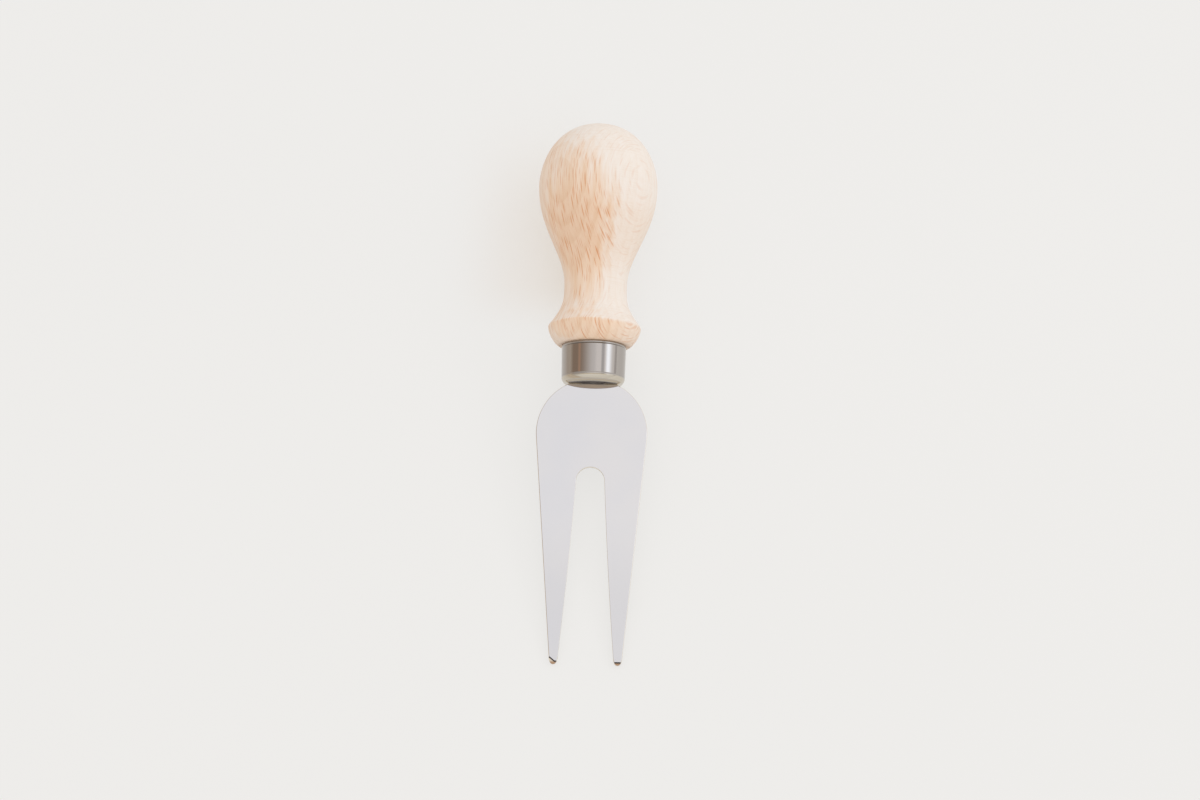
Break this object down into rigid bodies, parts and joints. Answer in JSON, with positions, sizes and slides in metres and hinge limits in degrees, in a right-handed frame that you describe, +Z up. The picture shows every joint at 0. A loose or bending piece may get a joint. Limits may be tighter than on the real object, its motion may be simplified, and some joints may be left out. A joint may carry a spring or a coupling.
{
  "type": "cheese fork",
  "caption": "Short cheese fork with straight tapered tines cut from flat steel, a round-shouldered blade, a drawn steel ferrule and a turned bulb-ended beech handle.",
  "frame": {"origin": "on the surface that the fork lies on, under the middle of its bounding box", "axes": "+Y along the fork from its tips to the end of its handle, +Z up out of the surface and the blade's front, +X to the right seen from the tips"},
  "size_m": [0.0346, 0.1588, 0.036],
  "materials": {
    "beech": "sanded and bare, with short dark flecks along the grain",
    "ferrule_steel": "polished, a little darker and warmer than the blade",
    "blade_steel": "mirror polished"
  },
  "bodies": {
    "root": {"handle": "beech", "ferrule": "ferrule_steel", "fork_blade": "blade_steel"}
  },
  "joints": []
}
